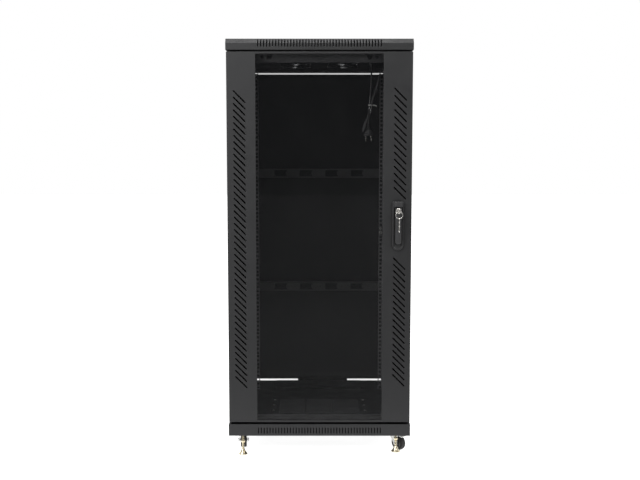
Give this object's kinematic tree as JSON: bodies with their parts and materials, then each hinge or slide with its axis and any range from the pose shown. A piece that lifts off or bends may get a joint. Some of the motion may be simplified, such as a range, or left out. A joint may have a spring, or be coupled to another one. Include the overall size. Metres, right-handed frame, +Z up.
{
  "type": "network server rack cabinet",
  "caption": "Free-standing 19-inch rack cabinet with a glazed front door, swing handle, vented roof with fans, casters and levelling feet.",
  "frame": {"origin": "ground level under the middle of the whole outline", "axes": "+Z up, front door towards -Y, door hinge on the -X side"},
  "size_m": [0.6, 0.657, 1.364],
  "materials": {
    "outer_powder_coat": "fine-textured black-grey powder coat",
    "frame_powder_coat": "fine-textured black powder coat",
    "door_glass": "lightly tinted toughened glass",
    "edge_tape": "black bonding tape",
    "zinc": "bright zinc plate",
    "black_steel": "black oxide",
    "chrome_wire": "bright chrome wire",
    "key_metal": "nickel-plated",
    "fan_plastic": "black moulded",
    "handle_black": "black satin moulding",
    "handle_lever": "satin black die casting",
    "foot_zinc": "yellow zinc plate",
    "tyre_black": "black tread on a nylon hub",
    "cord_black": "glossy black sheath",
    "tie_white": "natural nylon",
    "plug_black": "moulded black",
    "plug_metal": "nickel-plated brass"
  },
  "bodies": {
    "cabinet": {"plinth": "outer_powder_coat", "roof_cover": "outer_powder_coat", "frame_posts": "frame_powder_coat", "frame_beams": "frame_powder_coat", "frame_side_beams": "frame_powder_coat", "depth_brackets": "frame_powder_coat", "mounting_rail_front_left": "frame_powder_coat", "mounting_rail_front_right": "frame_powder_coat", "mounting_rail_rear_left": "frame_powder_coat", "mounting_rail_rear_right": "frame_powder_coat", "lacing_bars": "frame_powder_coat", "ceiling_plate": "frame_powder_coat", "floor_plate": "frame_powder_coat", "floor_vent_cover": "frame_powder_coat", "sheet_screws": "zinc", "cage_nuts": "zinc", "foot_nuts": "zinc", "caster_plates": "zinc", "fan_housings": "fan_plastic", "fan_guards": "chrome_wire", "fan_cord": "cord_black", "cable_tie": "tie_white", "cord_gland": "plug_black", "plug_body": "plug_black", "plug_pins": "plug_metal"},
    "front_door": {"door_stile_left": "outer_powder_coat", "door_stile_right": "outer_powder_coat", "door_trims": "outer_powder_coat", "door_glass": "door_glass", "glass_tape": "edge_tape", "door_hinge_pins": "black_steel", "handle_base": "handle_black"},
    "handle_spindle": {"handle_spindle": "zinc"},
    "handle_lever": {"handle_lever": "handle_lever"},
    "lock_cylinder": {"lock_cylinder": "key_metal"},
    "key_ring": {"key_ring": "key_metal"},
    "rear_door": {"rear_door": "outer_powder_coat", "rear_hinge_pins": "black_steel"},
    "rear_lock": {"rear_lock": "key_metal"},
    "side_panel_left": {"side_panel_left": "outer_powder_coat"},
    "side_panel_right": {"side_panel_right": "outer_powder_coat"},
    "side_lock_left": {"side_lock_left": "handle_black"},
    "side_lock_right": {"side_lock_right": "handle_black"},
    "fan_rotor_left": {"fan_rotor_left": "fan_plastic"},
    "fan_rotor_right": {"fan_rotor_right": "fan_plastic"},
    "cable_entry_slider": {"cable_entry_slider": "frame_powder_coat"},
    "foot_front_left": {"foot_front_left": "foot_zinc"},
    "foot_front_right": {"foot_front_right": "foot_zinc"},
    "foot_rear_left": {"foot_rear_left": "foot_zinc"},
    "foot_rear_right": {"foot_rear_right": "foot_zinc"},
    "caster_fork_front_left": {"caster_fork_front_left": "zinc"},
    "caster_wheel_front_left": {"caster_wheel_front_left": "tyre_black"},
    "brake_pedal_front_left": {"brake_pedal_front_left": "zinc"},
    "caster_fork_front_right": {"caster_fork_front_right": "zinc"},
    "caster_wheel_front_right": {"caster_wheel_front_right": "tyre_black"},
    "brake_pedal_front_right": {"brake_pedal_front_right": "zinc"},
    "caster_fork_rear_left": {"caster_fork_rear_left": "zinc"},
    "caster_wheel_rear_left": {"caster_wheel_rear_left": "tyre_black"},
    "caster_fork_rear_right": {"caster_fork_rear_right": "zinc"},
    "caster_wheel_rear_right": {"caster_wheel_rear_right": "tyre_black"}
  },
  "joints": [
    {"name": "front_door_hinge", "type": "hinge", "parent": "cabinet", "child": "front_door", "pos_m": [-0.29, -0.2675, 0.7195], "axis": [0, 0, -1], "range_deg": [0, 130]},
    {"name": "handle_turn", "type": "hinge", "parent": "front_door", "child": "handle_spindle", "pos_m": [0.2537, -0.2775, 0.712], "axis": [0, -1, 0], "range_deg": [0, 90]},
    {"name": "lever_swing", "type": "hinge", "parent": "handle_spindle", "child": "handle_lever", "pos_m": [0.2537, -0.2905, 0.712], "axis": [1, 0, 0], "range_deg": [0, 60]},
    {"name": "key_turn", "type": "hinge", "parent": "handle_lever", "child": "lock_cylinder", "pos_m": [0.2537, -0.2925, 0.816], "axis": [0, -1, 0], "range_deg": [0, 90]},
    {"name": "key_ring_swing", "type": "hinge", "parent": "lock_cylinder", "child": "key_ring", "pos_m": [0.2537, -0.3175, 0.816], "axis": [-1, 0, 0], "range_deg": [-12, 70]},
    {"name": "rear_door_hinge", "type": "hinge", "parent": "cabinet", "child": "rear_door", "pos_m": [0.29, 0.3125, 0.714], "axis": [0, 0, -1], "range_deg": [0, 130]},
    {"name": "rear_lock_turn", "type": "hinge", "parent": "rear_door", "child": "rear_lock", "pos_m": [-0.258, 0.3125, 0.713], "axis": [0, 1, 0], "range_deg": [0, 90]},
    {"name": "side_panel_left_lift_off", "type": "slide", "parent": "cabinet", "child": "side_panel_left", "axis": [-1, 0, 0], "range_m": [0, 0.08]},
    {"name": "side_panel_right_lift_off", "type": "slide", "parent": "cabinet", "child": "side_panel_right", "axis": [1, 0, 0], "range_m": [0, 0.08]},
    {"name": "side_lock_left_turn", "type": "hinge", "parent": "side_panel_left", "child": "side_lock_left", "pos_m": [-0.293, 0.0225, 1.284], "axis": [-1, 0, 0], "range_deg": [0, 90]},
    {"name": "side_lock_right_turn", "type": "hinge", "parent": "side_panel_right", "child": "side_lock_right", "pos_m": [0.293, 0.0225, 1.284], "axis": [1, 0, 0], "range_deg": [0, 90]},
    {"name": "fan_left_spin", "type": "hinge", "parent": "cabinet", "child": "fan_rotor_left", "pos_m": [-0.085, 0.0875, 1.339], "axis": [0, 0, 1], "continuous": true},
    {"name": "fan_right_spin", "type": "hinge", "parent": "cabinet", "child": "fan_rotor_right", "pos_m": [0.085, 0.0875, 1.339], "axis": [0, 0, 1], "continuous": true},
    {"name": "cable_entry_slide", "type": "slide", "parent": "cabinet", "child": "cable_entry_slider", "axis": [0, -1, 0], "range_m": [0, 0.108]},
    {"name": "foot_front_left_level", "type": "slide", "parent": "cabinet", "child": "foot_front_left", "axis": [0, 0, 1], "range_m": [0, 0.011]},
    {"name": "foot_front_right_level", "type": "slide", "parent": "cabinet", "child": "foot_front_right", "axis": [0, 0, 1], "range_m": [-0.009, 0.002]},
    {"name": "foot_rear_left_level", "type": "slide", "parent": "cabinet", "child": "foot_rear_left", "axis": [0, 0, 1], "range_m": [0, 0.011]},
    {"name": "foot_rear_right_level", "type": "slide", "parent": "cabinet", "child": "foot_rear_right", "axis": [0, 0, 1], "range_m": [0, 0.011]},
    {"name": "caster_front_left_swivel", "type": "hinge", "parent": "cabinet", "child": "caster_fork_front_left", "pos_m": [-0.258, -0.1975, 0.06], "axis": [0, 0, 1], "continuous": true},
    {"name": "caster_front_left_roll", "type": "hinge", "parent": "caster_fork_front_left", "child": "caster_wheel_front_left", "pos_m": [-0.25948, -0.18057, 0.025], "axis": [-0.9962, -0.0872, 0], "continuous": true},
    {"name": "brake_front_left_press", "type": "hinge", "parent": "caster_fork_front_left", "child": "brake_pedal_front_left", "pos_m": [-0.26009, -0.17359, 0.055], "axis": [-0.9962, -0.0872, 0], "range_deg": [0, 12]},
    {"name": "caster_front_right_swivel", "type": "hinge", "parent": "cabinet", "child": "caster_fork_front_right", "pos_m": [0.258, -0.1975, 0.06], "axis": [0, 0, 1], "continuous": true},
    {"name": "caster_front_right_roll", "type": "hinge", "parent": "caster_fork_front_right", "child": "caster_wheel_front_right", "pos_m": [0.26893, -0.21052, 0.025], "axis": [0.766, 0.6428, 0], "continuous": true},
    {"name": "brake_front_right_press", "type": "hinge", "parent": "caster_fork_front_right", "child": "brake_pedal_front_right", "pos_m": [0.27343, -0.21588, 0.055], "axis": [0.766, 0.6428, 0], "range_deg": [0, 12]},
    {"name": "caster_rear_left_swivel", "type": "hinge", "parent": "cabinet", "child": "caster_fork_rear_left", "pos_m": [-0.258, 0.2425, 0.06], "axis": [0, 0, 1], "continuous": true},
    {"name": "caster_rear_left_roll", "type": "hinge", "parent": "caster_fork_rear_left", "child": "caster_wheel_rear_left", "pos_m": [-0.27193, 0.23275, 0.025], "axis": [0.5736, -0.8192, 0], "continuous": true},
    {"name": "caster_rear_right_swivel", "type": "hinge", "parent": "cabinet", "child": "caster_fork_rear_right", "pos_m": [0.258, 0.2425, 0.06], "axis": [0, 0, 1], "continuous": true},
    {"name": "caster_rear_right_roll", "type": "hinge", "parent": "caster_fork_rear_right", "child": "caster_wheel_rear_right", "pos_m": [0.2624, 0.22608, 0.025], "axis": [0.9659, 0.2588, 0], "continuous": true}
  ]
}
